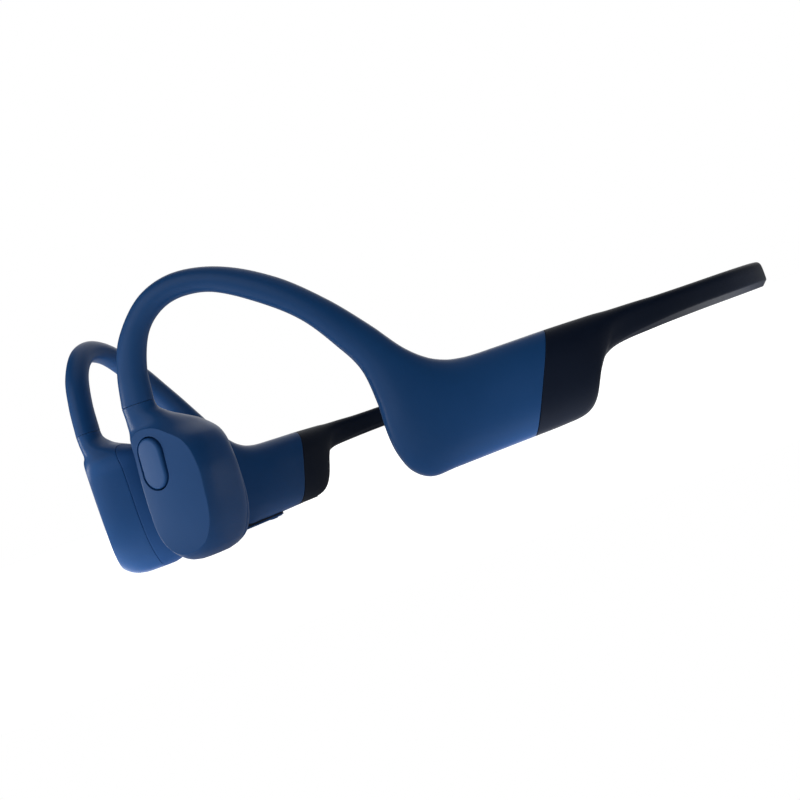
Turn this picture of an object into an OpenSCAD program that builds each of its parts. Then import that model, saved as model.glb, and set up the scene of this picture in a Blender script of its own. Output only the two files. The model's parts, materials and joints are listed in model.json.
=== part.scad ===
// Bone conduction headphones: a neckband with two sprung arms, each carrying a pod, an ear hook
// and a transducer that rests on the cheekbone.
// X points to the wearer's left, Y to the back of the head, Z up. Millimetres.

/* [Neckband] */
// Height of the neckband strip
band_height = 5; // [4.6:0.2:5.4]
// Thickness of the neckband strip
band_thickness = 3.8; // [3.6:0.1:4.2]
// Diameter of the titanium core wire
core_diameter = 0.9; // [0.8:0.1:1.0]

/* [Ear hook and pod] */
// Thickness of the ear hook across the ear
hook_thickness = 4.3; // [4.2:0.1:4.8]
// Thickness of the pod
pod_thickness = 8.4; // [8.4:0.1:9.2]
// Wall of the silicone skin
skin_wall = 1; // [0.9:0.05:1.05]

/* [Transducer] */
// Half width of the transducer block at its widest
block_half_width = 7.4; // [7.3:0.1:7.6]
// Distance from the block's axis to its flat contact face
contact_reach = 7.2; // [7.1:0.05:7.3]
// Turn of the transducer away from the side of the head
block_turn = 30; // [28:1:32]

/* [Controls] */
// Length of the multifunction button cap
button_length = 9; // [8.6:0.1:9.1]
// Width of the multifunction button cap
button_width = 5.3; // [5:0.05:5.35]
// Width of the volume keys
key_width = 3.1; // [2.9:0.05:3.15]
// Gap between the two volume keys
key_gap = 0.3; // [0.2:0.05:0.4]

/* [Hidden] */
seam_y = -10.2;
band_z = 16.7;
ring_points = 24;
wire_points = 10;
gap = 0.05;

blue = [0.1, 0.2, 0.4];
black = [0.04, 0.06, 0.1];
steel = [0.6, 0.6, 0.62];
board_green = [0.05, 0.25, 0.15];
plastic = [0.12, 0.12, 0.13];
gold = [0.8, 0.65, 0.3];

// Plan of one side's centreline, from the transducer back to the mid-plane, seam line at y = 0.
plan = [
    [15.8, -56.3], [28.6, -43.9], [38.4, -32], [43.9, -21], [48.2, -10.5], [52.8, 0], [57.6, 13],
    [59.6, 27], [57, 43], [48.5, 58.5], [34.5, 70], [18, 76.5], [0, 78.5], [-18, 76.5],
];

// Stations along the arm: [lower edge s, z], [upper edge s, z], thickness share, squareness.
// s runs back along the plan and z is counted from the neckband's top edge.
// A thickness share of 0 is the ear hook, 1 the pod and 2 the neckband.
hook_stations = [
    [3.1, 12.8, -2.9, 13, 0, 2.1],
    [4, 18.5, -1.5, 18.8, 0, 2.1],
    [6.6, 23.8, 1.2, 24.6, 0, 2.1],
    [10.5, 26.5, 7.2, 29.9, 0, 2.1],
    [15, 27.1, 14.2, 31.5, 0, 2.1],
    [20.5, 25.7, 22.5, 29.6, 0.02, 2.1],
    [27.7, 20.8, 31.2, 24.4, 0.06, 2.1],
    [32.9, 15.9, 37.9, 18, 0.14, 2.1],
    [36.7, 10.1, 43.3, 11.3, 0.27, 2.2],
    [39.3, 4.8, 47, 6.1, 0.42, 2.3],
    [39.9, -1.5, 50.2, 3.1, 0.57, 2.4],
    [39.7, -6.6, 53.2, 1.6, 0.7, 2.5],
    [40.1, -10.5, 56, 1, 0.8, 2.6],
    [41.5, -14, 58.5, 0.8, 0.88, 2.9],
    [44.2, -16, 61, 0.75, 0.94, 3.1],
    [48.5, -16, 63.5, 0.7, 0.98, 3.3],
    [55.5, -15.9, 67, 0.65, 1, 3.4],
    [62.9, -15.8, 70.5, 0.6, 1, 3.4],
];
pod_stations = [
    [62.9, -15.8, 70.5, 0.6, 1, 3.4],
    [68.5, -15.7, 74, 0.5, 1.05, 3.4],
    [72.5, -15.3, 77, 0.4, 1.15, 3.4],
    [74.7, -13.8, 79.5, 0.3, 1.3, 3.4],
    [76.4, -10.4, 82, 0.1, 1.5, 3.4],
    [78.4, -7.6, 84.5, 0, 1.7, 3.5],
    [81.8, -6.1, 87.5, -0.1, 1.85, 3.7],
    [89, -5.6, 92, -0.3, 1.95, 4],
    [100, -5.4, 100, -0.4, 2, 4],
    [112, -5.4, 112, -0.4, 2, 4],
    [121, -5.4, 121, -0.4, 2, 4],
    [130, -5.4, 130, -0.4, 2, 4],
];
hinge_s = 130;
hinge_relief_out = 26;
hinge_relief_in = 8;

// Sections of the transducer body before its two faces are cut flat:
// [z, centre x, centre y, half width, half depth, squareness, turn about Z].
body_sections = [
    [15.9, -2.8, -2.6, 3, 2.15, 2.1, 14],
    [14.5, -2.65, -2.4, 3.25, 2.4, 2.2, 12],
    [13.2, -2.35, -1.8, 3.95, 2.9, 2.4, 9],
    [12, -2, -0.7, 4.85, 4.1, 2.6, 4],
    [10.4, -1.5, 0.5, 5.9, 6.2, 2.5, 1],
    [7.5, 0, 0.5, 7, 7.4, 2.6, 0],
    [3, 0.3, 0.3, 7.4, 7, 3.4, 0],
    [-2, -0.1, 0.5, 7.2, 7.3, 3.7, 0],
    [-6.2, -0.5, 0.6, 6.6, 7.6, 3.7, 0],
    [-9.2, -0.8, 1.1, 5.6, 7.2, 3.4, 0],
    [-11.3, -1, 1.6, 4.4, 6.2, 2.8, 0],
    [-12.3, -1.3, 1.7, 3.2, 4.6, 2.5, 0],
    [-12.7, -1.4, 1.8, 2, 3, 2.4, 0],
];
widest_section = 7.4;
block_centre = [16.97, -52.55, -3.3];
facet_y = -5;
parting_x = -7.2;
parting_y = 2;
parting_lean = 15;
cavity_y = [-4.2, 5.9];
driver_y = 1.2;
driver_z = -1;
button_x = -2.2;
button_z = 5.6;
button_lean = 7;
button_gap = 0.22;
button_proud = 0.6;
button_flush = 0;
button_tilt = 6.5;

// Interpolation
function chord(p, i) = i == 0 ? 0 : chord(p, i - 1) + norm(p[i] - p[i - 1]);
function knots(p) = [for (i = [0:len(p) - 1]) chord(p, i)];
function span_of(k, u) = min(len(k) - 2, max(0, len([for (q = k) if (q <= u) 1]) - 1));
function slope(v, k, i) =
    let(a = max(0, i - 1), b = min(len(v) - 1, i + 1)) (v[b] - v[a]) / (k[b] - k[a]);
function hermite(v, k, u) =
    let(
        i = span_of(k, u),
        h = k[i + 1] - k[i],
        t = (u - k[i]) / h
    )
    t < 0 ? v[0] + (u - k[0]) * slope(v, k, 0) :
    (2 * t ^ 3 - 3 * t ^ 2 + 1) * v[i]
    + (t ^ 3 - 2 * t ^ 2 + t) * h * slope(v, k, i)
    + (3 * t ^ 2 - 2 * t ^ 3) * v[i + 1]
    + (t ^ 3 - t ^ 2) * h * slope(v, k, i + 1);
function power(v, e) = sign(v) * pow(abs(v), e);

// Plan curve, mirrored past the mid-plane
plan_knots = knots(plan);
mid_s = plan_knots[len(plan) - 2];
function plan_half(s) = hermite(plan, plan_knots, s);
function plan_at(s) = s <= mid_s ? plan_half(s) : let(p = plan_half(2 * mid_s - s)) [-p[0], p[1]];
function tangent_at(s) = let(d = plan_at(s + 0.1) - plan_at(s - 0.1)) d / norm(d);
function put(s, z, off) =
    let(p = plan_at(s), d = tangent_at(s))
    [p[0] + off * d[1], p[1] - off * d[0] + seam_y, z + band_z];

// Arm sections
function half_thickness(share) =
    share <= 1 ? (hook_thickness + (pod_thickness - hook_thickness) * share) / 2
    : (pod_thickness + (band_thickness - pod_thickness) * (share - 1)) / 2;
function centres(st) = [for (r = st) [(r[0] + r[2]) / 2, (r[1] + r[3]) / 2]];
function ring(row, inset, relief) =
    let(
        c = [(row[0] + row[2]) / 2, (row[1] + row[3]) / 2],
        m = [row[2] - row[0], row[3] - row[1]] / 2,
        reach = norm(m),
        mi = m * (reach - inset) / reach,
        w = half_thickness(row[4]) - inset,
        e = 2 / row[5]
    )
    [for (j = [0:ring_points - 1])
        let(
            a = 360 * j / ring_points,
            off = w * power(cos(a), e),
            q = c + mi * power(sin(a), e),
            cut = relief * abs(off) * (off > 0 ? tan(hinge_relief_out) : tan(hinge_relief_in))
        )
        put(q[0] - cut, q[1], off)];
function samples(k, steps) =
    [for (i = [0:len(k) - 2]) for (j = [0:steps - 1]) k[i] + (k[i + 1] - k[i]) * j / steps,
        k[len(k) - 1]];
function reversed(v) = [for (i = [len(v) - 1:-1:0]) v[i]];

// Skins a list of rings. A closed loft joins its last ring to its first.
module loft(rings, closed) {
    n = len(rings[0]);
    m = len(rings);
    last = closed ? m - 1 : m - 2;
    sides = [
        for (i = [0:last]) for (j = [0:n - 1])
            let(a = i * n + j, b = i * n + (j + 1) % n,
                c = ((i + 1) % m) * n + (j + 1) % n, d = ((i + 1) % m) * n + j)
            each [[a, b, c], [a, c, d]]
    ];
    caps = closed ? [] : [[for (j = [n - 1:-1:0]) j], [for (j = [0:n - 1]) (m - 1) * n + j]];
    polyhedron(points = [for (r = rings) each r], faces = concat(sides, caps), convexity = 8);
}

// Hollow skin along a list of stations, open at both ends
module skin(stations, outer_steps, relief) {
    k = knots(centres(stations));
    end = k[len(k) - 1];
    outer = [for (u = samples(k, outer_steps))
        ring(hermite(stations, k, u), 0, u == end ? relief : 0)];
    inner = [for (u = samples(k, 1))
        ring(hermite(stations, k, u), skin_wall, u == end ? relief : 0)];
    loft(concat(outer, reversed(inner)), true);
}

// Wire along the arm, offset across the arm and along the section
function wire_ring(row, off, rise, r) =
    let(
        c = [(row[0] + row[2]) / 2, (row[1] + row[3]) / 2],
        m = [row[2] - row[0], row[3] - row[1]],
        dir = m / norm(m)
    )
    [for (j = [0:wire_points - 1])
        let(a = 360 * j / wire_points, q = c + dir * (rise + r * sin(a)))
        put(q[0], q[1], off + r * cos(a))];
module wire(stations, first, last, off, rise, r, steps) {
    k = knots(centres(stations));
    picked = [for (u = samples(k, steps)) if (u >= k[first] && u <= k[last]) u];
    loft([for (u = picked) wire_ring(hermite(stations, k, u), off, rise, r)], false);
}

// Frames
module pod_frame() {
    p = put(59.5, -7.5, 0);
    d = tangent_at(59.5);
    translate(p) rotate([0, 0, atan2(d[1], d[0])]) children();
}
module block_frame() {
    translate([block_centre[0], block_centre[1] + seam_y, block_centre[2] + band_z])
        rotate([0, 0, block_turn]) children();
}
module rounded_rect(a, b, r) {
    square([a - 2 * r, b], center = true);
    square([a, b - 2 * r], center = true);
    for (x = [-1, 1], y = [-1, 1])
        translate([x * (a / 2 - r), y * (b / 2 - r)]) circle(r = r, $fn = 48);
}
// Prism along X with a rounded section across Y and Z
module bar_x(x0, x1, depth, height, r) {
    translate([x0, 0, 0]) rotate([90, 0, 90])
        linear_extrude(height = x1 - x0) rounded_rect(depth, height, r);
}
// Prism along Y with a rounded section across X and Z
module bar_y(y0, y1, width, height, r) {
    translate([0, y1, 0]) rotate([90, 0, 0])
        linear_extrude(height = y1 - y0) rounded_rect(width, height, r);
}
// Prism along Z with a rounded section across X and Y
module bar_z(z0, z1, length, width, r) {
    translate([0, 0, z0]) linear_extrude(height = z1 - z0) rounded_rect(length, width, r);
}
module disc_y(y0, y1, r) {
    translate([0, y1, 0]) rotate([90, 0, 0]) cylinder(r = r, h = y1 - y0, $fn = 64);
}
module ring_y(y0, y1, r_out, r_in) {
    difference() {
        disc_y(y0, y1, r_out);
        disc_y(y0 - 1, y1 + 1, r_in);
    }
}

// Neckband
band_top = -0.4;
band_steps = 12;
band_end_gap = 0.3;
band_start = hinge_s + band_end_gap;
band_span = 2 * (mid_s - band_start);
band_stations = [for (i = [0:band_steps])
    let(s = band_start + band_span * i / band_steps)
    [s, band_top - band_height, s, band_top, 2, 4]];
module band_skin() {
    color(black) skin(band_stations, 3, 0);
}
module band_core() {
    color(steel) wire(band_stations, 0, band_steps, 0, 0, core_diameter / 2, 2);
}

// Arm, left side
module left_hook_skin() {
    color(blue) skin(hook_stations, 2, 0);
}
pod_stations_open = [for (i = [0:len(pod_stations) - 1])
    let(r = pod_stations[i])
    i == 0 ? [r[0] + gap, r[1], r[2] + gap, r[3], r[4], r[5]] : r];
module left_pod_skin() {
    color(black) skin(pod_stations_open, 2, 1);
}
module left_hook_core() {
    color(steel) wire(hook_stations, 0, 9, -0.5, 0, core_diameter / 2, 2);
}
module left_hook_lead() {
    color(plastic) wire(hook_stations, 0, 9, 0.55, 0, 0.35, 2);
}
module left_band_core() {
    color(steel) wire(pod_stations, 5, 9, 0, 0, core_diameter / 2, 1);
}

// Pod insides. Along X back, along Y towards the head.
case_front = -10;
case_rear = 11.5;
case_depth = 5;
case_height = 11.2;
case_wall = 0.8;
cap_thickness = 1.2;
module pod_case() {
    pod_frame() difference() {
        bar_x(case_front, case_rear - cap_thickness - gap, case_depth, case_height, 2);
        bar_x(case_front + case_wall, case_rear + 1, case_depth - 2 * case_wall,
            case_height - 2 * case_wall, 1.2);
        translate([case_front - 1, 0, 3]) rotate([0, 90, 0]) cylinder(r = 1, h = 3, $fn = 32);
    }
}
module pod_cap() {
    pod_frame() difference() {
        bar_x(case_rear - cap_thickness, case_rear, case_depth, case_height, 2);
        translate([case_rear - 3, 0, 3]) rotate([0, 90, 0]) cylinder(r = 1, h = 4, $fn = 32);
    }
}
module left_pod_case() {
    color(plastic) pod_case();
}
module left_pod_cap() {
    color(plastic) pod_cap();
}
module battery_cell() {
    color([0.6, 0.62, 0.65]) pod_frame() bar_x(-8.8, 7.2, 3, 9, 1);
}
module battery_board() {
    color(board_green) pod_frame() bar_x(7.7, 8.5, 3, 8.6, 0.4);
}

// Transducer
function section(row) =
    [for (j = [0:ring_points - 1])
        let(
            a = 360 * j / ring_points,
            e = 2 / row[5],
            wide = row[3] * block_half_width / widest_section,
            x = wide * power(cos(a), e),
            y = row[4] * power(sin(a), e)
        )
        [row[1] + x * cos(row[6]) - y * sin(row[6]), row[2] + x * sin(row[6]) + y * cos(row[6]), row[0]]];
module transducer_body() {
    k = [for (r = body_sections) -r[0]];
    loft([for (u = samples(k, 2)) section(hermite(body_sections, k, u))], false);
}
module driver_cavity() {
    translate([-0.4, 0, -0.8]) bar_y(cavity_y[0], cavity_y[1], 10, 18, 3.4);
}
module half_space(y0, y1) {
    translate([-20, y0, -20]) cube([40, y1 - y0, 40]);
}
// Everything before (-1) or behind (1) the leaning parting plane
module parting_side(way) {
    translate([parting_x, parting_y + way * gap / 2, 0]) rotate([0, 0, parting_lean])
        translate([-20, way < 0 ? -40 : 0, -20]) cube([60, 40, 40]);
}
module driver_frame() {
    block_frame() translate([-0.4, driver_y, driver_z]) children();
}
module button_frame() {
    block_frame() translate([button_x, 0, button_z]) rotate([0, button_lean, 0]) children();
}
module button_opening() {
    translate([button_x, 0, button_z]) rotate([0, button_lean, 0])
        bar_y(-8, -2.9, button_width + 2 * button_gap, button_length + 2 * button_gap,
            button_width / 2 + button_gap - 0.01);
}
module transducer_shell() {
    intersection() {
        transducer_body();
        half_space(facet_y, contact_reach);
        parting_side(-1);
    }
}
module left_transducer_shell() {
    color(blue) block_frame() difference() {
        transducer_shell();
        driver_cavity();
        button_opening();
    }
}
module contact_cover() {
    block_frame() difference() {
        intersection() {
            transducer_body();
            half_space(facet_y, contact_reach);
            parting_side(1);
        }
        driver_cavity();
    }
}
module left_contact_cover() {
    color(black) contact_cover();
}
module coil_plate() {
    driver_frame() bar_y(3.9, 4.6, 9.6, 16, 3.2);
}
module voice_coil() {
    driver_frame() ring_y(1.2, 3.85, 3.75, 3.35);
}
module magnet_yoke() {
    driver_frame() difference() {
        disc_y(-2.2, 2.4, 4.6);
        disc_y(-1.5, 3, 4.1);
    }
}
module magnet_disc() {
    driver_frame() disc_y(-1.45, 1, 3);
}
module top_plate() {
    driver_frame() disc_y(1.05, 1.75, 3);
}
module leaf_spring() {
    driver_frame() difference() {
        bar_y(-2.5, -2.25, 9.6, 15, 3);
        disc_y(-3, -2, 1.2);
        for (z = [-6, -4.4, 4.4, 6])
            translate([0, 0, z]) bar_y(-3, -2, 5.6, 0.8, 0.39);
    }
}
module left_coil_plate() {
    color(plastic) coil_plate();
}
module left_voice_coil() {
    color([0.7, 0.4, 0.2]) voice_coil();
}
module left_magnet_yoke() {
    color(steel) magnet_yoke();
}
module left_magnet_disc() {
    color([0.5, 0.5, 0.52]) magnet_disc();
}
module left_top_plate() {
    color(steel) top_plate();
}
module left_leaf_spring() {
    color(steel) leaf_spring();
}

// Multifunction button, with its switch and board behind the cap
module button_cap() {
    color(blue) button_frame() intersection() {
        bar_y(facet_y - button_proud, -3.55, button_width, button_length, button_width / 2 - 0.01);
        translate([-button_width / 2, facet_y - button_flush, 0]) rotate([0, 0, -button_tilt])
            translate([-10, 0, -10]) cube([30, 20, 20]);
    }
}
module button_board() {
    color(board_green) button_frame() translate([0, 0, -1.2]) bar_y(-2.4, -2.05, 4.2, 4.6, 0.8);
}
module button_switch() {
    color(steel) button_frame() translate([0, 0, -1.2]) disc_y(-2.95, -2.45, 1.4);
}

// Right side, mirrored shells
module right_hook_skin() {
    color(blue) difference() {
        mirror([1, 0, 0]) skin(hook_stations, 2, 0);
        at_key_bar() bar_z(-11, -6.1, bar_length + 2 * gap, bar_width + 2 * gap, bar_width / 2 + gap - 0.01);
    }
}
module right_pod_skin() {
    color(black) mirror([1, 0, 0]) difference() {
        skin(pod_stations_open, 2, 1);
        pod_frame() translate([port_x, 0, 0])
            bar_z(-10, -6.6, port_length + 0.1, port_width + 0.1, port_width / 2 - 0.01);
    }
}
module right_hook_core() {
    mirror([1, 0, 0]) left_hook_core();
}
module right_band_core() {
    mirror([1, 0, 0]) left_band_core();
}
module right_hook_lead() {
    mirror([1, 0, 0]) left_hook_lead();
}
module right_pod_case() {
    color(plastic) mirror([1, 0, 0]) pod_case();
}
module right_pod_cap() {
    color(plastic) mirror([1, 0, 0]) pod_cap();
}
module main_board() {
    color(board_green) mirror([1, 0, 0]) pod_frame()
        translate([0.4, 0.8, 0]) bar_y(-0.4, 0.4, 18, 8.8, 0.8);
}
module radio_shield() {
    color(steel) mirror([1, 0, 0]) pod_frame()
        translate([-3, -0.4, 0]) bar_y(-0.8, 0.75, 8, 7, 0.5);
}
module charge_chip() {
    color(plastic) mirror([1, 0, 0]) pod_frame()
        translate([4.2, -0.1, -1]) bar_y(-0.4, 0.45, 4, 4, 0.2);
}
module antenna() {
    color(gold) mirror([1, 0, 0]) pod_frame()
        translate([5, 0, 3]) bar_y(-0.3, 0.35, 6.6, 1.6, 0.2);
}
module microphone() {
    color(steel) mirror([1, 0, 0]) pod_frame()
        translate([-8.2, 0, -2.6]) bar_y(-0.5, 0.35, 1.4, 2.4, 0.3);
}

// Charging port on the pod's underside, with two pins, two magnets and a light pipe
port_x = 8.4;
port_length = 7.2;
port_width = 3.4;
port_top = -7.2;
port_face = -8.2;
pin_x = 1.35;
magnet_x = 2.75;
module charge_port() {
    color(plastic) mirror([1, 0, 0]) pod_frame() translate([port_x, 0, 0]) difference() {
        bar_z(port_face, port_top, port_length, port_width, port_width / 2 - 0.05);
        for (x = [-pin_x, pin_x])
            translate([x, 0, -9]) cylinder(r = 0.5, h = 3, $fn = 32);
        for (x = [-magnet_x, magnet_x])
            translate([x, 0, -7.8]) cylinder(r = 0.6, h = 2, $fn = 32);
        translate([0, 0, -9]) cylinder(r = 0.4, h = 3, $fn = 32);
    }
}
module charge_pins() {
    color(gold) mirror([1, 0, 0]) pod_frame() translate([port_x, 0, 0])
        for (x = [-pin_x, pin_x])
            translate([x, 0, port_face + 0.1]) cylinder(r = 0.45, h = 0.85, $fn = 32);
}
module charge_magnets() {
    color(steel) mirror([1, 0, 0]) pod_frame() translate([port_x, 0, 0])
        for (x = [-magnet_x, magnet_x])
            translate([x, 0, -7.75]) cylinder(r = 0.55, h = 0.5, $fn = 32);
}
module led_light_pipe() {
    color([0.9, 0.9, 0.85]) mirror([1, 0, 0]) pod_frame()
        translate([port_x, 0, port_face + 0.05]) cylinder(r = 0.35, h = 0.9, $fn = 32);
}

// Two volume keys in a bar under the front of the pod, each with a raised dot
bar_x0 = -16.6;
bar_length = 15;
bar_width = 4;
bar_top = -7.2;
bar_face = -8.85;
bar_rim = 0.3;
key_seat = -8.3;
key_back = -8.6;
key_face = -9;
key_split = -8.8;
dot_height = 0.2;
dot_length = 1.8;
dot_width = 1;
up_dot_x = -15.2;
down_dot_x = -4.2;
module at_key_bar(x = bar_x0 + bar_length / 2) {
    mirror([1, 0, 0]) pod_frame() translate([x, 0, 0]) children();
}
module key_bar() {
    pocket_width = bar_width - 2 * bar_rim;
    color(black) at_key_bar() difference() {
        bar_z(bar_face, bar_top, bar_length, bar_width, bar_width / 2 - 0.01);
        bar_z(bar_face - 1, key_seat, bar_length - 2 * bar_rim, pocket_width, pocket_width / 2 - 0.01);
    }
}
module volume_key(x0, x1, dot_x) {
    intersection() {
        at_key_bar() bar_z(key_face, key_back, bar_length - bar_width + key_width, key_width,
            key_width / 2 - 0.01);
        at_key_bar(x0) translate([0, -bar_width, key_face - 1]) cube([x1 - x0, 2 * bar_width, 2]);
    }
    at_key_bar(dot_x) bar_z(key_face - dot_height, key_face + 0.1, dot_length, dot_width, 0.3);
}
module volume_up_key() {
    color(blue) volume_key(bar_x0 - 1, key_split - key_gap / 2, up_dot_x);
}
module volume_down_key() {
    color(blue) volume_key(key_split + key_gap / 2, bar_x0 + bar_length + 1, down_dot_x);
}
module key_switches() {
    color(steel) for (x = [up_dot_x, down_dot_x])
        at_key_bar(x) translate([0, 0, key_seat - 1.5 * gap]) cylinder(r = 0.7, h = gap, $fn = 32);
}

module right_transducer_shell() {
    color(blue) mirror([1, 0, 0]) block_frame() difference() {
        transducer_shell();
        driver_cavity();
    }
}
module right_contact_cover() {
    color(black) mirror([1, 0, 0]) contact_cover();
}
module right_coil_plate() {
    color(plastic) mirror([1, 0, 0]) coil_plate();
}
module right_voice_coil() {
    mirror([1, 0, 0]) left_voice_coil();
}
module right_magnet_yoke() {
    mirror([1, 0, 0]) left_magnet_yoke();
}
module right_magnet_disc() {
    mirror([1, 0, 0]) left_magnet_disc();
}
module right_top_plate() {
    mirror([1, 0, 0]) left_top_plate();
}
module right_leaf_spring() {
    mirror([1, 0, 0]) left_leaf_spring();
}

band_skin();
band_core();
left_hook_skin();
left_pod_skin();
left_hook_core();
left_band_core();
left_hook_lead();
left_pod_case();
left_pod_cap();
battery_cell();
battery_board();
left_transducer_shell();
left_contact_cover();
left_voice_coil();
left_coil_plate();
button_board();
button_switch();
left_magnet_yoke();
left_magnet_disc();
left_top_plate();
left_leaf_spring();
button_cap();
right_hook_skin();
right_pod_skin();
right_hook_core();
right_band_core();
right_hook_lead();
right_pod_case();
right_pod_cap();
main_board();
radio_shield();
charge_chip();
antenna();
microphone();
charge_port();
charge_pins();
charge_magnets();
led_light_pipe();
key_bar();
key_switches();
right_transducer_shell();
right_contact_cover();
right_voice_coil();
right_coil_plate();
right_magnet_yoke();
right_magnet_disc();
right_top_plate();
right_leaf_spring();
volume_up_key();
volume_down_key();
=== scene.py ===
import json
import math

import bmesh
import bpy
import numpy as np
from mathutils import Matrix, Vector


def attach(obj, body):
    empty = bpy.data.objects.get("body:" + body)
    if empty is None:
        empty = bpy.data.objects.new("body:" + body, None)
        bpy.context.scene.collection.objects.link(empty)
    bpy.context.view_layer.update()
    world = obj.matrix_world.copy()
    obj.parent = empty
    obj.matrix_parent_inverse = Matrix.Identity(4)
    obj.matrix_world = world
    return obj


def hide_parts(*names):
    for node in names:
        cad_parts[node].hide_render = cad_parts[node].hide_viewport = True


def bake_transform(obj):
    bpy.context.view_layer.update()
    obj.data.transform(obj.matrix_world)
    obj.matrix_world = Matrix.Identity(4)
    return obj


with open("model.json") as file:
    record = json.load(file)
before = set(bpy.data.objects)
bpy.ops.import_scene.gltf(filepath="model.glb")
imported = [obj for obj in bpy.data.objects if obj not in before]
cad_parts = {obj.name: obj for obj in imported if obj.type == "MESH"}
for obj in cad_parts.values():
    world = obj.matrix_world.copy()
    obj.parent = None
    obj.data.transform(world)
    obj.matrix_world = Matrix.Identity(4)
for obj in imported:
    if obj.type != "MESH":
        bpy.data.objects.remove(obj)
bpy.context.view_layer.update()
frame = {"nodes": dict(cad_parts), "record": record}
MM = 0.001

# ---------------------------------------------------------------- shape of the arms, in millimetres
SEAM_Y = -10.2
BAND_Z = 16.7
SIDES = {"left": 1, "right": -1}

# plan view of the left arm, from the end of the ear hook to just past the middle of the back: x, y
PLAN = [
    (15.8, -56.3), (28.6, -43.9), (38.4, -32), (43.9, -21), (48.2, -10.5), (52.8, 0), (57.6, 13),
    (59.6, 27), (57, 43), (48.5, 58.5), (34.5, 70), (18, 76.5), (0, 78.5), (-18, 76.5),
]
HOOK_THICKNESS = 4.3
POD_THICKNESS = 8.4
BAND_THICKNESS = 3.8
CHAMFER = 1.1
# thickness share at which the chamfer starts, and over how much of it the chamfer grows to its full size
CHAMFER_FROM = 1.2
CHAMFER_GROWS = 0.5
# short step along the plan, to find its direction
STEP = 0.1
# lower edge s, z; upper edge s, z; thickness share (0 hook, 1 pod, 2 neckband); squareness
HOOK = [
    (3.1, 12.8, -2.9, 13, 0, 2.1),
    (4, 18.5, -1.5, 18.8, 0, 2.1),
    (6.6, 23.8, 1.2, 24.6, 0, 2.1),
    (10.5, 26.5, 7.2, 29.9, 0, 2.1),
    (15, 27.1, 14.2, 31.5, 0, 2.1),
    (20.5, 25.7, 22.5, 29.6, 0.02, 2.1),
    (27.7, 20.8, 31.2, 24.4, 0.06, 2.1),
    (32.9, 15.9, 37.9, 18, 0.14, 2.1),
    (36.7, 10.1, 43.3, 11.3, 0.27, 2.2),
    (39.3, 4.8, 47, 6.1, 0.42, 2.3),
    (39.9, -1.5, 50.2, 3.1, 0.57, 2.4),
    (39.7, -6.6, 53.2, 1.6, 0.7, 2.5),
    (40.1, -10.5, 56, 1, 0.8, 2.6),
    (41.5, -14, 58.5, 0.8, 0.88, 2.9),
    (44.2, -16, 61, 0.75, 0.94, 3.1),
    (48.5, -16, 63.5, 0.7, 0.98, 3.3),
    (55.5, -15.9, 67, 0.65, 1, 3.4),
    (62.9, -15.8, 70.5, 0.6, 1, 3.4),
]
POD = [
    (62.9, -15.8, 70.5, 0.6, 1, 3.4),
    (68.5, -15.7, 74, 0.5, 1.05, 3.4),
    (72.5, -15.3, 77, 0.4, 1.15, 3.4),
    (74.7, -13.8, 79.5, 0.3, 1.3, 3.4),
    (76.4, -10.4, 82, 0.1, 1.5, 3.4),
    (78.4, -7.6, 84.5, 0, 1.7, 3.5),
    (81.8, -6.1, 87.5, -0.1, 1.85, 3.7),
    (89, -5.6, 92, -0.3, 1.95, 4),
]
# Past the pods the neckband keeps one section, given here at a few places along the plan.
BAND_LOW = -5.4
BAND_TOP = -0.4
BAND_STATIONS = (100, 112, 121, 130, 148, 166)
# transducer body: z, centre x, centre y, half width, half depth, squareness, turn
BODY = [
    (15.9, -2.8, -2.6, 3, 2.15, 2.1, 14),
    (14.5, -2.65, -2.4, 3.25, 2.4, 2.2, 12),
    (13.2, -2.35, -1.8, 3.95, 2.9, 2.4, 9),
    (12, -2, -0.7, 4.85, 4.1, 2.6, 4),
    (10.4, -1.5, 0.5, 5.9, 6.2, 2.5, 1),
    (7.5, 0, 0.5, 7, 7.4, 2.6, 0),
    (3, 0.3, 0.3, 7.4, 7, 3.4, 0),
    (-2, -0.1, 0.5, 7.2, 7.3, 3.7, 0),
    (-6.2, -0.5, 0.6, 6.6, 7.6, 3.7, 0),
    (-9.2, -0.8, 1.1, 5.6, 7.2, 3.4, 0),
    (-11.3, -1, 1.6, 4.4, 6.2, 2.8, 0),
    (-12.3, -1.3, 1.7, 3.2, 4.6, 2.5, 0),
    (-12.7, -1.4, 1.8, 2, 3, 2.4, 0),
]
BLOCK = (16.97, -52.55, -3.3)
BLOCK_TURN = math.radians(30)
FACET_Y = -5.0
# The parting plane stands at this depth on one side of the block and leans back from there.
PARTING_X = -7.2
PARTING_Y = 2.0
PARTING_LEAN = 0.27
CONTACT_Y = 7.2
BUTTON = (-2.2, 5.6)
BUTTON_SIZE = (5.3, 9)
BUTTON_LEAN = math.radians(7)
BUTTON_GAP = 0.2
# depths of the button's inner end and of the floor of its recess
BUTTON_FOOT = -3.55
BUTTON_FLOOR = -2.97
# The button stands out more along one side than along the other.
BUTTON_PROUD = (0.0, 0.7)
# How far the middles of the facet and of the button stand out.
FACET_CROWN = 0.32
BUTTON_CROWN = 0.06
# its rounded edge: inset, distance below the face
BUTTON_EDGE = ((0.0, 0.3), (0.03, 0.16), (0.1, 0.06), (0.22, 0.0))
# how much wider the raised side's edge is rounded, and how far in the middle line lies
BUTTON_ROUND = 1.1
BUTTON_MIDDLE = 2.32
# the recess stands a little to the raised side
BUTTON_ASIDE = 0.14
# extra height of the upper end over the lower one
BUTTON_TIP = 0.2


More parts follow.
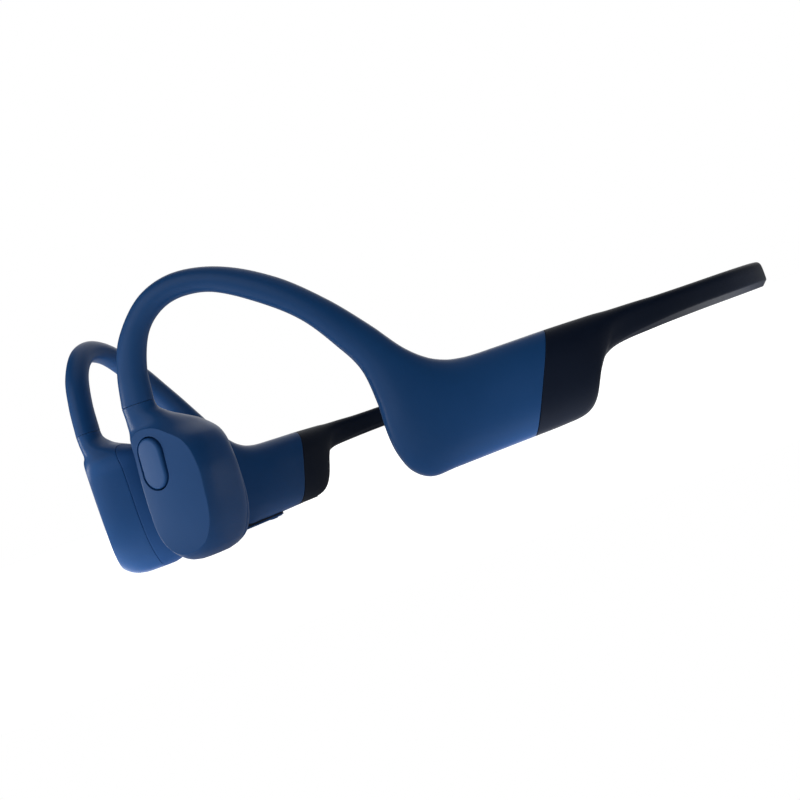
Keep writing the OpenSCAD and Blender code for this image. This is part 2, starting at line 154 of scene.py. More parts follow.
class Curve:
    """Smooth curve through rows of numbers, run straight on before the first.

    Without knots of its own it is measured by the distances between the rows.
    """

    def __init__(self, rows, knots=None):
        self.v = np.array(rows, float)
        if knots is None:
            step = np.linalg.norm(np.diff(self.v, axis=0), axis=1)
            knots = np.r_[0, np.cumsum(step)]
        self.k = np.array(knots, float)
        k, v = self.k, self.v
        m = np.empty_like(v)
        m[1:-1] = (v[2:] - v[:-2]) / (k[2:] - k[:-2])[:, None]
        m[0] = (v[1] - v[0]) / (k[1] - k[0])
        m[-1] = (v[-1] - v[-2]) / (k[-1] - k[-2])
        self.m = m

    def __call__(self, u):
        u = np.atleast_1d(np.asarray(u, float))
        i = np.clip(np.searchsorted(self.k, u, side="right") - 1, 0, len(self.k) - 2)
        h = (self.k[i + 1] - self.k[i])[:, None]
        t = (u - self.k[i])[:, None] / h
        out = (
            (2 * t**3 - 3 * t**2 + 1) * self.v[i]
            + (t**3 - 2 * t**2 + t) * h * self.m[i]
            + (3 * t**2 - 2 * t**3) * self.v[i + 1]
            + (t**3 - t**2) * h * self.m[i + 1]
        )
        low = u < self.k[0]
        out[low] = self.v[0] + (u[low] - self.k[0])[:, None] * self.m[0]
        return out


plan = Curve(PLAN)
MID_S = plan.k[-2]
POD += [(s, BAND_LOW, s, BAND_TOP, 2, 4) for s in (*BAND_STATIONS, MID_S)]


def plan_at(s):
    """Plan position at a distance along it. Past the middle of the back it comes back mirrored."""
    s = np.asarray(s, float)
    over = s > MID_S
    p = plan(np.where(over, 2 * MID_S - s, s))
    p[over, 0] *= -1
    return p


def put(s, z, off):
    """Points in the row frame, in metres, from distance along the plan, height and offset outwards."""
    s, z, off = (np.atleast_1d(np.asarray(a, float)) for a in (s, z, off))
    p = plan_at(s)
    d = plan_at(s + STEP) - plan_at(s - STEP)
    d /= np.linalg.norm(d, axis=1)[:, None]
    return np.stack([p[:, 0] + off * d[:, 1], p[:, 1] - off * d[:, 0] + SEAM_Y, z + BAND_Z], 1) * MM


def half_thickness(share):
    if share <= 1:
        return (HOOK_THICKNESS + (POD_THICKNESS - HOOK_THICKNESS) * share) / 2
    return (POD_THICKNESS + (BAND_THICKNESS - POD_THICKNESS) * (share - 1)) / 2


def power(v, e):
    return np.sign(v) * np.abs(v) ** e


def arm_ring(row, inset, n):
    """One section of an arm, pulled in by inset."""
    c = np.array([(row[0] + row[2]) / 2, (row[1] + row[3]) / 2])
    m = np.array([row[2] - row[0], row[3] - row[1]]) / 2
    reach = np.linalg.norm(m)
    m = m * (reach - inset) / reach
    w = half_thickness(row[4]) - inset
    a = np.arange(n) * 2 * np.pi / n
    e = 2 / row[5]
    up = (reach - inset) * power(np.sin(a), e)
    off = w * power(np.cos(a), e)
    # The neckband's two lower edges are chamfered.
    share = np.clip((row[4] - CHAMFER_FROM) / CHAMFER_GROWS, 0, 1)
    over = np.maximum(np.abs(off) - (w - CHAMFER) - up - (reach - inset - CHAMFER) - CHAMFER, 0)
    up = up + over * share / 2
    off = off - np.sign(off) * over * share / 2
    q = c + m / np.linalg.norm(m) * up[:, None]
    return put(q[:, 0], q[:, 1], off)


def station_curve(rows):
    """Curve through the rows of an arm, measured along the middles of its sections."""
    rows = np.array(rows, float)
    mids = np.stack([(rows[:, 0] + rows[:, 2]) / 2, (rows[:, 1] + rows[:, 3]) / 2], 1)
    knots = np.r_[0, np.cumsum(np.linalg.norm(np.diff(mids, axis=0), axis=1))]
    return Curve(rows, knots)


# ---------------------------------------------------------------- mesh helpers
def link_mesh(name, mesh, material):
    obj = bpy.data.objects.new(name, mesh)
    bpy.context.scene.collection.objects.link(obj)
    obj.data.materials.append(material)
    return obj


def mesh_object(name, verts, faces, material):
    mesh = bpy.data.meshes.new(name)
    mesh.from_pydata([tuple(v) for v in verts], [], faces)
    mesh.validate()
    mesh.update()
    mesh.shade_smooth()
    return link_mesh(name, mesh, material)


def bridge(bm, ring, fresh):
    """Quads between two outlines that have as many points each."""
    n = len(ring)
    for i in range(n):
        k = (i + 1) % n
        bm.faces.new((ring[i], ring[k], fresh[k], fresh[i]))


def finished_object(bm, name, matrix, material, sharp):
    """Object from a mesh built in millimetres: smooth, with creases where faces turn by more than sharp."""
    bmesh.ops.transform(bm, matrix=matrix @ Matrix.Scale(MM, 4), verts=bm.verts[:])
    bmesh.ops.recalc_face_normals(bm, faces=bm.faces[:])
    for f in bm.faces:
        f.smooth = True
    for e in bm.edges:
        if len(e.link_faces) == 2 and e.calc_face_angle(0) > sharp:
            e.smooth = False
    mesh = bpy.data.meshes.new(name)
    bm.to_mesh(mesh)
    bm.free()
    return link_mesh(name, mesh, material)


def loft_faces(count, n, flip):
    faces = []
    for i in range(count - 1):
        for j in range(n):
            a, b = i * n + j, i * n + (j + 1) % n
            c, d = b + n, a + n
            faces.append((a, d, c, b) if not flip else (a, b, c, d))
    return faces


def mirrored(verts, side):
    out = np.array(verts, float)
    out[:, 0] *= side
    return out


# ---------------------------------------------------------------- materials
def new_material(name):
    mat = bpy.data.materials.new(name)
    mat.use_nodes = True
    nt = mat.node_tree
    bsdf = nt.nodes["Principled BSDF"]
    return mat, nt, bsdf


def noise(nt, scale, detail=4.0, rough=0.6, stretch=(1, 1, 1)):
    coord = nt.nodes.new("ShaderNodeTexCoord")
    mapping = nt.nodes.new("ShaderNodeMapping")
    mapping.inputs["Scale"].default_value = stretch
    nt.links.new(coord.outputs["Object"], mapping.inputs["Vector"])
    tex = nt.nodes.new("ShaderNodeTexNoise")
    tex.inputs["Scale"].default_value = scale
    tex.inputs["Detail"].default_value = detail
    tex.inputs["Roughness"].default_value = rough
    nt.links.new(mapping.outputs["Vector"], tex.inputs["Vector"])
    return tex.outputs["Fac"]


def ramp(nt, source, low, high, a=0.3, b=0.7, smooth=False):
    """Map what runs from a to b onto low to high."""
    r = nt.nodes.new("ShaderNodeMapRange")
    if smooth:
        r.interpolation_type = "SMOOTHSTEP"
    r.inputs["From Min"].default_value = a
    r.inputs["From Max"].default_value = b
    r.inputs["To Min"].default_value = low
    r.inputs["To Max"].default_value = high
    nt.links.new(source, r.inputs["Value"])
    return r.outputs["Result"]


def grain(nt, bsdf, fac, rough, strength, depth):
    """Uneven roughness between two values, and fine relief of the given depth in metres."""
    nt.links.new(ramp(nt, fac, *rough), bsdf.inputs["Roughness"])
    bump = nt.nodes.new("ShaderNodeBump")
    bump.inputs["Strength"].default_value = strength
    bump.inputs["Distance"].default_value = depth
    nt.links.new(fac, bump.inputs["Height"])
    nt.links.new(bump.outputs["Normal"], bsdf.inputs["Normal"])


def soft_touch(name, base, lighter, rough=0.33):
    """Moulded silicone: fine grain, slight mottling, a weak shine."""
    mat, nt, bsdf = new_material(name)
    mix = nt.nodes.new("ShaderNodeMix")
    mix.data_type = "RGBA"
    mix.inputs[6].default_value = (*base, 1)
    mix.inputs[7].default_value = (*lighter, 1)
    nt.links.new(ramp(nt, noise(nt, 90, 3), 0, 1, 0.25, 0.75), mix.inputs[0])
    nt.links.new(mix.outputs[2], bsdf.inputs["Base Color"])
    grain(nt, bsdf, noise(nt, 5200, 2, 0.5), (rough - 0.05, rough + 0.06), 0.1, 0.00003)
    bsdf.inputs["Specular IOR Level"].default_value = 0.2
    return mat


def metal(name, base, rough, scale=900, stretch=(1, 1, 1)):
    mat, nt, bsdf = new_material(name)
    grain(nt, bsdf, noise(nt, scale, 4, 0.5, stretch), (rough - 0.08, rough + 0.1), 0.15, 0.00002)
    bsdf.inputs["Base Color"].default_value = (*base, 1)
    bsdf.inputs["Metallic"].default_value = 1
    return mat


def plastic(name, base, rough, scale=2500):
    mat, nt, bsdf = new_material(name)
    grain(nt, bsdf, noise(nt, scale, 3), (rough - 0.06, rough + 0.08), 0.2, 0.00003)
    bsdf.inputs["Base Color"].default_value = (*base, 1)
    return mat


BLUE = soft_touch("blue_silicone", (0.013, 0.074, 0.232), (0.015, 0.08, 0.248))
BLACK = soft_touch("black_silicone", (0.0028, 0.008, 0.024), (0.0038, 0.0105, 0.029), rough=0.5)
PAD = soft_touch("pad_silicone", (0.0115, 0.069, 0.225), (0.0135, 0.075, 0.24), rough=0.55)
CAP = soft_touch("button_silicone", (0.0145, 0.084, 0.262), (0.0165, 0.09, 0.278), rough=0.45)

SLOTS = {
    "blue_silicone": BLUE,
    "black_silicone": BLACK,
    "pad_silicone": PAD,
    "titanium": metal("titanium", (0.55, 0.52, 0.49), 0.32, 1200, (1, 1, 8)),
    "lead_jacket": plastic("lead_jacket", (0.02, 0.02, 0.022), 0.45),
    "case_plastic": plastic("case_plastic", (0.02, 0.02, 0.023), 0.5),
    "battery_foil": metal("battery_foil", (0.7, 0.71, 0.73), 0.38, 500),
    "circuit_board": plastic("circuit_board", (0.01, 0.09, 0.045), 0.4, 1500),
    "chip_black": plastic("chip_black", (0.015, 0.015, 0.017), 0.45),
    "steel": metal("steel", (0.58, 0.58, 0.6), 0.28, 1500, (8, 1, 1)),
    "magnet": metal("magnet", (0.62, 0.62, 0.64), 0.16, 700),
    "copper": metal("copper", (0.72, 0.33, 0.14), 0.3, 3000, (1, 1, 10)),
    "gold": metal("gold", (0.9, 0.68, 0.28), 0.2, 2500),
    "light_pipe": plastic("light_pipe", (0.75, 0.8, 0.85), 0.25),
}
for sub in frame["record"]["subparts"]:
    node_obj = frame["nodes"][sub["node"]]
    node_obj.data.materials.clear()
    node_obj.data.materials.append(SLOTS[sub["material_slot"]])

# ---------------------------------------------------------------- fittings under the right pod
# middle of the pod: distance along the plan, height
POD_S = 59.5
POD_Z = -7.5
# bars along the pod: start, length, width
KEY_BAR = (-16.6, 15.0, 4.0)
PORT = (4.8, 7.2, 3.4)
# upper and lower heights, from the middle of the pod
# painted shade: a black strip between the pod and the key frame stands in for the shadow in the gap there
PAINTED_SHADE_STRIP = (-7.2, -8.52)
KEY_FRAME = (-8.54, -8.85)
# width of the rim round the keys, height of the pocket's floor
KEY_POCKET = (0.3, -8.3)
# openings in the skins: play round each fitting, heights between which they are cut
BAR_GAP = 0.03
PORT_GAP = 0.05
PORT_TOP = -7.1
BELOW_POD = -10
# faces that meet at more than these angles are shaded with an edge between them
FRAME_CREASE = 0.6
SKIN_CREASE = math.radians(60)


def pod_matrix(side):
    origin = put(POD_S, POD_Z, 0)[0]
    ahead = put(POD_S + STEP, POD_Z, 0)[0] - origin
    m = Matrix.Translation(origin) @ Matrix.Rotation(math.atan2(ahead[1], ahead[0]), 4, "Z")
    return Matrix.Diagonal((side, 1, 1, 1)) @ m


def capsule(length, width, grow, n=20):
    r = width / 2 + grow
    half = (length - width) / 2
    pts = []
    for sign in (1, -1):
        for i in range(n + 1):
            a = -np.pi / 2 + np.pi * i / n
            pts.append((sign * (half + r * math.cos(a)), sign * r * math.sin(a)))
    return pts


def capsule_frame(name, bar, profile, side, material, hollow=False):
    """Rounded bar along the pod, from outlines at given insets and heights; a hollow one is a closed ring."""
    bm = bmesh.new()
    x0, length, width = bar
    ring = first = None
    for inset, z in profile:
        fresh = [bm.verts.new((x0 + length / 2 + x, y, z)) for x, y in capsule(length, width, -inset)]
        if ring:
            bridge(bm, ring, fresh)
        ring = fresh
        first = first or fresh
    if hollow:
        bridge(bm, ring, first)
    else:
        bm.faces.new(first)
        bm.faces.new(ring)
    return finished_object(bm, name, pod_matrix(side), material, FRAME_CREASE)


def open_skin(skin_obj, bar, gap, top):
    """Cut an opening for a bar under the right pod into a skin."""
    material = skin_obj.data.materials[0]
    cutter = capsule_frame("opening", bar, ((-gap, top), (-gap, BELOW_POD)), SIDES["right"], material)
    cut_out = skin_obj.modifiers.new("opening", "BOOLEAN")
    cut_out.operation = "DIFFERENCE"
    cut_out.solver = "EXACT"
    cut_out.object = cutter
    opened = bpy.data.meshes.new_from_object(skin_obj.evaluated_get(bpy.context.evaluated_depsgraph_get()))
    skin_obj.modifiers.clear()
    skin_obj.data = opened
    opened.set_sharp_from_angle(angle=SKIN_CREASE)
    bpy.data.objects.remove(cutter)


# ---------------------------------------------------------------- arm skins
RING_N = 96
RING_STEP = 0.45
# how a skin turns in at its end: distance from the end, inset
LIP = [(0.0, 0.9), (0.0, 0.12), (0.02, 0.05), (0.05, 0.012), (0.1, 0.0)]
LIP_CLEAR = 0.4
COLOUR_GAP = 0.03
# two places along the neckband, where a bend with an arm would start and be full, and a height; points there
# are worked out but not used
BEND = (152, 104)
BEND_Z = -3


def skin(name, rows, u0, u1, side, material, end_lip=True):
    """Outer skin between two stations. An end with a lip turns in, so the joint reads as a fine groove."""
    curve = station_curve(rows)
    count = int((u1 - u0) / RING_STEP)
    inner = np.linspace(u0 + LIP_CLEAR, u1 - (LIP_CLEAR if end_lip else 0), count)
    stations = [(u0 + du, inset) for du, inset in LIP] + [(u, 0) for u in inner]
    if end_lip:
        stations += [(u1 - du, inset) for du, inset in reversed(LIP)]
    rings = [arm_ring(curve(u)[0], inset, RING_N) for u, inset in stations]
    verts = mirrored(np.concatenate(rings), side)
    faces = loft_faces(len(rings), RING_N, side < 0)
    ends = [range(RING_N), range(len(verts) - 1, len(verts) - RING_N - 1, -1)]
    faces += [tuple(end)[::side] for end in ends]
    obj = mesh_object(name, verts, faces, material)
    obj.data.set_sharp_from_angle(angle=SKIN_CREASE)
    return obj


hook_curve = station_curve(HOOK)
pod_curve = station_curve(POD)
for side_name, side in SIDES.items():
    hook_skin = skin(f"{side_name}_ear_hook", HOOK, 0.0, hook_curve.k[-1] - COLOUR_GAP, side, BLUE)
    if side_name == "right":
        open_skin(hook_skin, KEY_BAR, BAR_GAP, PAINTED_SHADE_STRIP[0] + BAR_GAP)
    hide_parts(f"{side_name}_hook_skin")
    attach(hook_skin, f"{side_name}_arm")
    band_name = f"{side_name}_neckband_skin"
    band_skin = skin(band_name, POD, COLOUR_GAP, pod_curve.k[-1], side, BLACK, end_lip=False)
    if side_name == "right":
        open_skin(band_skin, PORT, PORT_GAP, PORT_TOP)
    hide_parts(f"{side_name}_pod_skin", "band_skin")
    a, b = (put(s, BEND_Z, 0)[0] * (side, 1, 1) for s in BEND)
    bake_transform(band_skin)


# ---------------------------------------------------------------- transducers
def block_matrix(side):
    m = Matrix.Translation((BLOCK[0] * MM, (BLOCK[1] + SEAM_Y) * MM, (BLOCK[2] + BAND_Z) * MM))
    m = m @ Matrix.Rotation(BLOCK_TURN, 4, "Z")
    return Matrix.Diagonal((side, 1, 1, 1)) @ m


BODY_N = 168
BODY_STEPS = 150
body_curve = Curve(BODY, [-r[0] for r in BODY])
NECK_N = 360
NECK_GAP = 0.03
NECK_RISE = 0.2
NECK_BLEND = 2.2
# insets of the rings that turn in at the neck
NECK_LIP = (1.0, 0.12, 0.05, 0.012)
# rings that close the bottom, each as a share of the one before
TIP_RINGS = (0.6, 0.25)
# half the gap at the parting seam
SEAM = 0.022
# how the edges run, from outside in: inset, distance from the finished face
SEAM_EDGE = ((0.02, 0.03), (0.08, 0), (1.0, 0))
FACET_EDGE = ((0.05, 0.03), (0.08, 0), (0.15, 0))
PAD_EDGE = ((0.1, 0.35), (0.16, 0.16), (0.22, 0.04), (0.25, 0), (0.3, 0))
# wall of the button's recess: growth, distance from the facet
RECESS_LIP = 0.06
RECESS_WALL = ((0.02, 0.02), (0.0, 0.07), (0.0, BUTTON_FLOOR - FACET_Y))
# first cuts, before the edges are built: distance from the finished face
ROUGH_CUT = 0.1
PAD_CUT = 0.6
# points closer than this along a cut become one
RIM_MERGE = 0.03
LATTICE = 0.8
BLOCK_CREASE = math.radians(38)


def body_ring(u):
    r = body_curve(u)[0]
    a = np.arange(BODY_N) * 2 * np.pi / BODY_N
    e = 2 / r[5]
    x = r[3] * power(np.cos(a), e)
    y = r[4] * power(np.sin(a), e)
    t = math.radians(r[6])
    across = r[1] + x * np.cos(t) - y * np.sin(t)
    deep = r[2] + x * np.sin(t) + y * np.cos(t)
    return np.stack([across, deep, np.full(BODY_N, r[0])], 1)


def neck_ring(like, inset=0.0):
    """The ear hook's end section in the block's own axes, point for point beside the given ring."""
    ring = arm_ring(hook_curve(0.0)[0], inset, NECK_N)
    m = np.array(block_matrix(1).inverted())
    ring = (ring @ m[:3, :3].T + m[:3, 3]) / MM
    centre = ring.mean(0)
    angle = np.arctan2(ring[:, 1] - centre[1], ring[:, 0] - centre[0])
    order = np.argsort(angle)
    mid = like.mean(0)
    want = np.arctan2(like[:, 1] - mid[1], like[:, 0] - mid[0])
    columns = [np.interp(want, angle[order], ring[order, k], period=2 * np.pi) for k in range(3)]
    return np.stack(columns, 1)


def body_rings():
    """Rings from the neck down; the first few follow the end of the ear hook."""
    start, end = body_curve.k[0], body_curve.k[-1]
    us = start + (end - start) * np.linspace(0, 1, BODY_STEPS)
    top = body_ring(start)
    rings = []
    for inset in NECK_LIP:
        ring = neck_ring(top, inset)
        ring[:, 2] -= NECK_GAP + max(NECK_LIP[1] - inset, 0) / 3
        rings.append(ring)
    for u in us:
        share = np.clip((u - start) / NECK_BLEND, 0, 1)
        share = share * share * (3 - 2 * share)
        ring = body_ring(u)
        hook = neck_ring(ring)
        mix = hook * (1 - share) + ring * share
        mix[:, 2] = (hook[:, 2] - hook[:, 2].mean() + NECK_RISE) * (1 - share) - u
        rings.append(mix)
    return rings


def distinct(items):
    """Each item once, in the order given. A set would put them in another order on every run."""
    return list(dict.fromkeys(items))


def walk_loops(edges):
    """Boundary edges as ordered loops of vertices."""
    edges = dict.fromkeys(edges)
    loops = []
    while edges:
        first = next(iter(edges))
        del edges[first]
        loop = [first.verts[0], first.verts[1]]
        while True:
            step = next((e for e in loop[-1].link_edges if e in edges), None)
            if step is None:
                break
            del edges[step]
            nxt = step.other_vert(loop[-1])
            if nxt is loop[0]:
                break
            loop.append(nxt)
        loops.append(loop)
    return loops


def inset_points(points, amount):
    """Points of a closed outline in X and Z, moved inwards."""
    pts = np.array([(p[0], p[2]) for p in points])
    t = np.roll(pts, -1, 0) - np.roll(pts, 1, 0)
    t /= np.linalg.norm(t, axis=1)[:, None] + 1e-12
    n = np.stack([-t[:, 1], t[:, 0]], 1)
    area = np.sum(pts[:, 0] * np.roll(pts[:, 1], -1) - np.roll(pts[:, 0], -1) * pts[:, 1])
    return pts + n * amount * (1 if area > 0 else -1)


def add_loop(bm, loop, inset, y, lean=0.0):
    """One more loop beside an outline, joined to it by quads."""
    pts = inset_points([v.co for v in loop], inset)
    fresh = [bm.verts.new((p[0], y + lean * (p[0] - PARTING_X), p[1])) for p in pts]
    bridge(bm, loop, fresh)
    return fresh


def stadium(grow, n=24, aside=0.0):
    """Outline of the button, leaning with it."""
    width, length = BUTTON_SIZE
    r = width / 2 + grow
    half = length / 2 - width / 2
    pts = []
    for sign in (1, -1):
        for i in range(n + 1):
            a = np.pi * i / n
            pts.append((sign * r * math.cos(a), sign * (half + r * math.sin(a))))
    c, s = math.cos(BUTTON_LEAN), math.sin(BUTTON_LEAN)
    x0, z0 = BUTTON
    return [(x0 + (x + aside) * c + z * s, z0 + z * c - (x + aside) * s) for x, z in pts]


def outline_edges(bm, ring):
    """Edges along a closed outline, made where they are missing."""
    pairs = zip(ring, ring[1:] + ring[:1])
    return [bm.edges.get(pair) or bm.edges.new(pair) for pair in pairs]


def raw_body():
    bm = bmesh.new()
    rings = body_rings()
    grid = [[bm.verts.new(p) for p in ring] for ring in rings]
    for a, b in zip(grid, grid[1:]):
        bridge(bm, a, b)
    bm.faces.new(grid[0])
    last = grid[-1]
    for scale in TIP_RINGS:
        mid = sum((v.co for v in last), Vector()) / BODY_N
        nxt = [bm.verts.new(mid + (v.co - mid) * scale) for v in last]
        bridge(bm, last, nxt)
        last = nxt
    bm.faces.new(last)
    return bm


def cut(bm, y, keep_above, lean=0.0):
    """Cut across the depth and give the outline of the opening."""
    bmesh.ops.bisect_plane(
        bm, geom=bm.verts[:] + bm.edges[:] + bm.faces[:], dist=1e-5, plane_co=(PARTING_X, y, 0),
        plane_no=(-lean, 1, 0), clear_inner=keep_above, clear_outer=not keep_above,
    )

    def on_plane(v):
        return abs(v.co.y - y - lean * (v.co.x - PARTING_X)) < 1e-3

    def rim():
        return [e for e in bm.edges if e.is_boundary and all(map(on_plane, e.verts))]

    bmesh.ops.remove_doubles(bm, verts=distinct(v for e in rim() for v in e.verts), dist=RIM_MERGE)
    return max(walk_loops(rim()), key=len)


def finish_block(bm, name, side, material):
    return finished_object(bm, name, block_matrix(side), material, BLOCK_CREASE)


def facet_faces(bm):
    return [f for f in bm.faces if all(abs(v.co.y - FACET_Y) < 1e-4 for v in f.verts)]


def crown_facet(bm):
    """Cut the flat facet into a fine lattice and raise its middle."""
    corners = [v.co for f in facet_faces(bm) for v in f.verts]
    low = [min(co[k] for co in corners) for k in range(3)]
    high = [max(co[k] for co in corners) for k in range(3)]
    for axis, normal in ((0, (1, 0, 0)), (2, (0, 0, 1))):
        for at in np.arange(low[axis] + LATTICE, high[axis], LATTICE):
            flat = facet_faces(bm)
            geom = distinct(part for f in flat for part in (*f.edges, *f.verts)) + flat
            place = [0.0, FACET_Y, 0.0]
            place[axis] = at
            bmesh.ops.bisect_plane(bm, geom=geom, dist=1e-4, plane_co=place, plane_no=normal)
    for v in bm.verts:
        share = [np.clip((2 * v.co[k] - low[k] - high[k]) / (high[k] - low[k]), -1, 1) for k in (0, 2)]
        if v.co.y < FACET_Y + 1e-4:
            v.co.y -= FACET_CROWN * (1 - share[0] ** 2) * (1 - share[1] ** 2)


def part_block(bm, out):
    """Keep one side of the parting plane, the contact side if out is 1, and turn its edge in."""
    seam = cut(bm, PARTING_Y + out * (SEAM + ROUGH_CUT), out > 0, PARTING_LEAN)
    for inset, away in SEAM_EDGE:
        seam = add_loop(bm, seam, inset, PARTING_Y + out * (SEAM + away), PARTING_LEAN)


def transducer(name, side, with_button):
    bm = raw_body()
    facet = cut(bm, FACET_Y + ROUGH_CUT, True)
    part_block(bm, -1)
    for inset, away in FACET_EDGE:
        facet = add_loop(bm, facet, inset, FACET_Y + away)
    edges = outline_edges(bm, facet)
    if with_button:
        outline = stadium(BUTTON_GAP + RECESS_LIP, aside=BUTTON_ASIDE)
        wall = [bm.verts.new((x, FACET_Y, z)) for x, z in outline]
        edges += outline_edges(bm, wall)
        for grow, away in RECESS_WALL:
            outline = stadium(BUTTON_GAP + grow, aside=BUTTON_ASIDE)
            fresh = [bm.verts.new((x, FACET_Y + away, z)) for x, z in outline]
            bridge(bm, wall, fresh)
            wall = fresh
        bm.faces.new(wall)
    bmesh.ops.triangle_fill(bm, use_beauty=True, use_dissolve=False, edges=edges)
    crown_facet(bm)
    return finish_block(bm, name, side, BLUE)


def contact_pad(name, side):
    bm = raw_body()
    part_block(bm, 1)
    face = cut(bm, CONTACT_Y - PAD_CUT, False)
    for inset, away in PAD_EDGE:
        face = add_loop(bm, face, inset, CONTACT_Y - away)
    bmesh.ops.triangle_fill(bm, use_beauty=True, use_dissolve=False, edges=outline_edges(bm, face))
    return finish_block(bm, name, side, PAD)


def button_key(name, side):
    """Press button. Its face leans, and the raised edge is rounded more than the flush one."""
    bm = bmesh.new()
    outer, inner = (np.array(stadium(-inset)) for inset in (0, 1))
    c, s = math.cos(BUTTON_LEAN), math.sin(BUTTON_LEAN)
    low, high = BUTTON_PROUD

    def shares(p):
        """Place of a point across the button and along it, each from 0 to 1."""
        x, z = p - BUTTON
        return 0.5 + (x * c - z * s) / BUTTON_SIZE[0], 0.5 + (z * c + x * s) / BUTTON_SIZE[1]

    # inset, distance below the face (None at the foot), share of the way to the middle
    rows = [(0.5, None, 0), (0.0, None, 0)] + [(inset, drop, 0) for inset, drop in BUTTON_EDGE]
    rows += [(BUTTON_EDGE[-1][0], -BUTTON_CROWN * (1 - (1 - k) ** 2), k) for k in np.linspace(0.1, 1, 10)]
    ring = None
    for inset, drop, k in rows:
        fresh = []
        for a, b in zip(outer, inner):
            side_share, end_share = shares(a)
            soft = 1 + BUTTON_ROUND * np.clip(side_share * 0.7 + end_share * 0.3, 0, 1) ** 2
            reach = inset * (1 if drop is None else soft)
            reach += (BUTTON_MIDDLE - reach) * k
            p = a + (b - a) * reach
            side_share, end_share = shares(p)
            lift = low + (high - low) * side_share + BUTTON_TIP * (end_share - 0.5)
            y = BUTTON_FOOT if drop is None else FACET_Y + drop * (soft if drop > 0 else 1) - lift
            fresh.append(bm.verts.new((p[0], y, p[1])))
        if ring:
            bridge(bm, ring, fresh)
        else:
            bm.faces.new(fresh)
        ring = fresh
    bm.faces.new(ring)
    return finish_block(bm, name, side, CAP)


for side_name, side in SIDES.items():
    block = transducer(f"{side_name}_transducer", side, side_name == "left")
    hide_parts(f"{side_name}_transducer_shell")
    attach(block, f"{side_name}_arm")
    pad = contact_pad(f"{side_name}_contact_pad", side)
    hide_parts(f"{side_name}_contact_cover")
    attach(pad, f"{side_name}_arm")
key = button_key("multifunction_key", 1)
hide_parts("button_cap")
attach(key, "multifunction_button")

# ---------------------------------------------------------------- key bar under the right pod
# The pieces are described by the outlines they pass through: inset, height.
shade_strip_top, shade_strip_face = PAINTED_SHADE_STRIP
frame_top, frame_face = KEY_FRAME
rim_wall, pocket_floor = KEY_POCKET
shade_strip_profile = (
    (0, shade_strip_top), (0, shade_strip_face + 0.05), (0.05, shade_strip_face),
    (rim_wall, shade_strip_face), (rim_wall, pocket_floor),
)
frame_profile = (
    (rim_wall, frame_top), (0.1, frame_top), (0.02, frame_top - 0.04), (0, frame_top - 0.1),
    (0, frame_face + 0.12), (0.04, frame_face + 0.03), (0.12, frame_face), (rim_wall, frame_face),
)
right = SIDES["right"]
# the black strip is painted shade for the shadowed gap above the blue key frame
shade_strip = capsule_frame("key_bar_painted_shade", KEY_BAR, shade_strip_profile, right, BLACK)
key_frame = capsule_frame("key_bar_frame", KEY_BAR, frame_profile, right, BLUE, hollow=True)
for obj in (shade_strip, key_frame):
    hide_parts("key_bar")
    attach(obj, "right_arm")

# ---------------------------------------------------------------- stage, light, camera
CAMERA_RIGHT = Vector((0.4694, 0.8123, -0.3461)).normalized()
CAMERA_FORWARD = Vector((-0.8634, 0.5043, 0.0126)).normalized()
CAMERA_UP = CAMERA_RIGHT.cross(CAMERA_FORWARD)
# where the picture was taken from, in the frame of the rows, in millimetres
CAMERA_SPOT = (238.2, -136.7, -5.0)
CAMERA_SENSOR = 36
CAMERA_LENS = 60.75
FLOOR_HALF = 4
FLOOR_SHADE = 0.85
FLOOR_GLOW = 0.02
# Light pools on the floor: centre x, centre y, radius, strength, in metres.
POOLS = [
    (0, -0.13, 0.11, 0.75),
    (0.05, -0.012, 0.035, 1.2),
    (0.057, 0.04, 0.035, 2.2),
    (-0.035, -0.085, 0.05, 2.4),
    (-0.045, -0.02, 0.022, 0.4),
]
# One softbox: place, the point it faces, size, in metres; watts.
BOX_PLACE = Vector((-0.42, -0.62, 0.05))
BOX_FACES = Vector((0.01, -0.02, 0.02))
BOX_SIZE = (0.28, 0.14)
BOX_WATTS = 1.2
# Soft light from around the set: (right, up, towards the camera), half width as a cosine, strength.
LOBES = [
    ((-1, 0.2, 1), 0.72, 1.15),
    ((-1, 0, 0), 0.72, 0.3),
    ((0, 1, 0), 0.72, 0.4),
    ((0, 1, -1), 0.72, 0.8),
    ((0, 0.15, -1), 0.8, 0.5),
    ((1, 0.6, -1), 0.85, 0.15),
]


def sum_of(nt, parts):
    total = parts[0]
    for part in parts[1:]:
        add = nt.nodes.new("ShaderNodeMath")
        nt.links.new(total, add.inputs[0])
        nt.links.new(part, add.inputs[1])
        total = add.outputs[0]
    return total


def unseen(nt, strength):
    """The given strength as light, and plain white for what the camera sees directly."""
    path = nt.nodes.new("ShaderNodeLightPath")
    mix = nt.nodes.new("ShaderNodeMix")
    mix.data_type = "FLOAT"
    mix.inputs[3].default_value = 1.0
    nt.links.new(path.outputs["Is Camera Ray"], mix.inputs[0])
    nt.links.new(strength, mix.inputs[2])
    return mix.outputs[0]


def floor_material():
    mat, nt, bsdf = new_material("floor")
    bsdf.inputs["Base Color"].default_value = (FLOOR_SHADE, FLOOR_SHADE, FLOOR_SHADE, 1)
    bsdf.inputs["Roughness"].default_value = 0.9
    bsdf.inputs["Emission Color"].default_value = (1, 1, 1, 1)
    place = nt.nodes.new("ShaderNodeNewGeometry")
    glow = nt.nodes.new("ShaderNodeValue")
    glow.outputs[0].default_value = FLOOR_GLOW
    parts = [glow.outputs[0]]
    for x, y, radius, strength in POOLS:
        away = nt.nodes.new("ShaderNodeVectorMath")
        away.operation = "DISTANCE"
        away.inputs[1].default_value = (x, y, 0)
        nt.links.new(place.outputs["Position"], away.inputs[0])
        parts.append(ramp(nt, away.outputs["Value"], 0, strength, radius, 0, smooth=True))
    nt.links.new(unseen(nt, sum_of(nt, parts)), bsdf.inputs["Emission Strength"])
    return mat


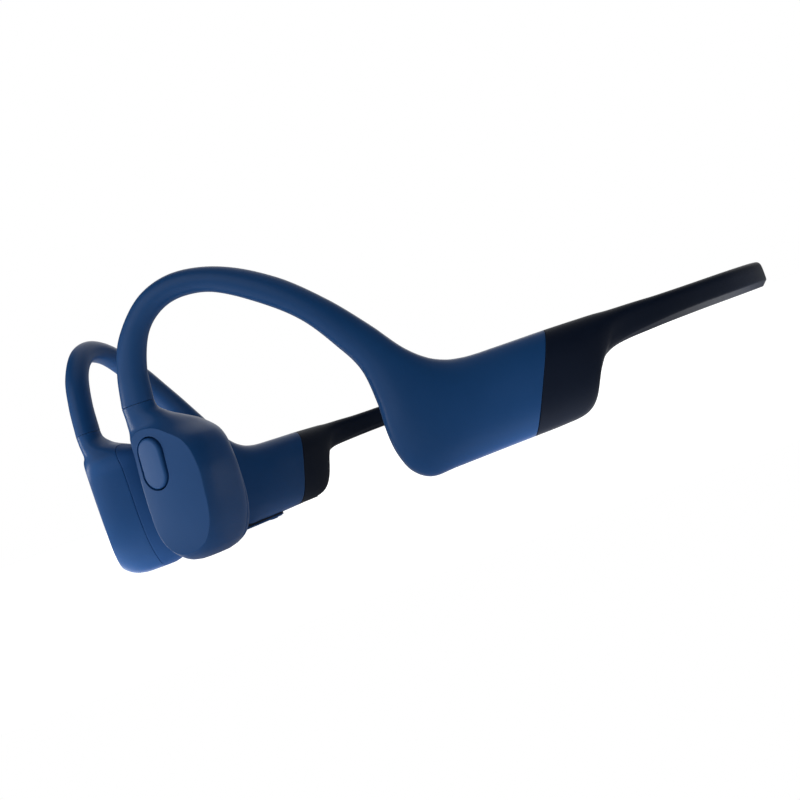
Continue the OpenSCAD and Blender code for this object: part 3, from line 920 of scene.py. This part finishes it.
def studio_world():
    world = bpy.data.worlds.new("studio")
    bpy.context.scene.world = world
    world.use_nodes = True
    wt = world.node_tree
    wt.nodes.clear()
    out = wt.nodes.new("ShaderNodeOutputWorld")
    bg = wt.nodes.new("ShaderNodeBackground")
    coord = wt.nodes.new("ShaderNodeTexCoord")
    parts = []
    for (right, up, near), width, strength in LOBES:
        axis = (CAMERA_RIGHT * right + CAMERA_UP * up - CAMERA_FORWARD * near).normalized()
        dot = wt.nodes.new("ShaderNodeVectorMath")
        dot.operation = "DOT_PRODUCT"
        dot.inputs[1].default_value = axis
        wt.links.new(coord.outputs["Generated"], dot.inputs[0])
        parts.append(ramp(wt, dot.outputs["Value"], 0, strength, width, 1, smooth=True))
    wt.links.new(unseen(wt, sum_of(wt, parts)), bg.inputs["Strength"])
    bg.inputs["Color"].default_value = (1, 1, 1, 1)
    wt.links.new(bg.outputs[0], out.inputs[0])


corners = [(x * FLOOR_HALF, y * FLOOR_HALF, 0) for x, y in ((-1, -1), (1, -1), (1, 1), (-1, 1))]
floor = mesh_object("floor", corners, [(0, 1, 2, 3)], floor_material())
studio_world()

box_data = bpy.data.lights.new("softbox_0", "AREA")
box_data.shape = "RECTANGLE"
box_data.size, box_data.size_y = BOX_SIZE
box_data.energy = BOX_WATTS
box = bpy.data.objects.new("softbox_0", box_data)
bpy.context.scene.collection.objects.link(box)
box.location = BOX_PLACE
box.rotation_euler = (BOX_FACES - BOX_PLACE).to_track_quat("-Z", "Y").to_euler()

bpy.context.scene.view_settings.view_transform = "Standard"

# The camera stands near the level of the neckband and is rolled with it.
cam_data = bpy.data.cameras.new("camera")
cam_data.sensor_width = CAMERA_SENSOR
cam_data.lens = CAMERA_LENS
camera = bpy.data.objects.new("camera", cam_data)
bpy.context.scene.collection.objects.link(camera)
x, y, z = CAMERA_SPOT
spot = Vector((x, y + SEAM_Y, z + BAND_Z)) * MM
rot = Matrix((CAMERA_RIGHT, CAMERA_UP, -CAMERA_FORWARD)).transposed()
camera.matrix_world = Matrix.Translation(spot) @ rot.to_4x4()
bpy.context.scene.camera = camera
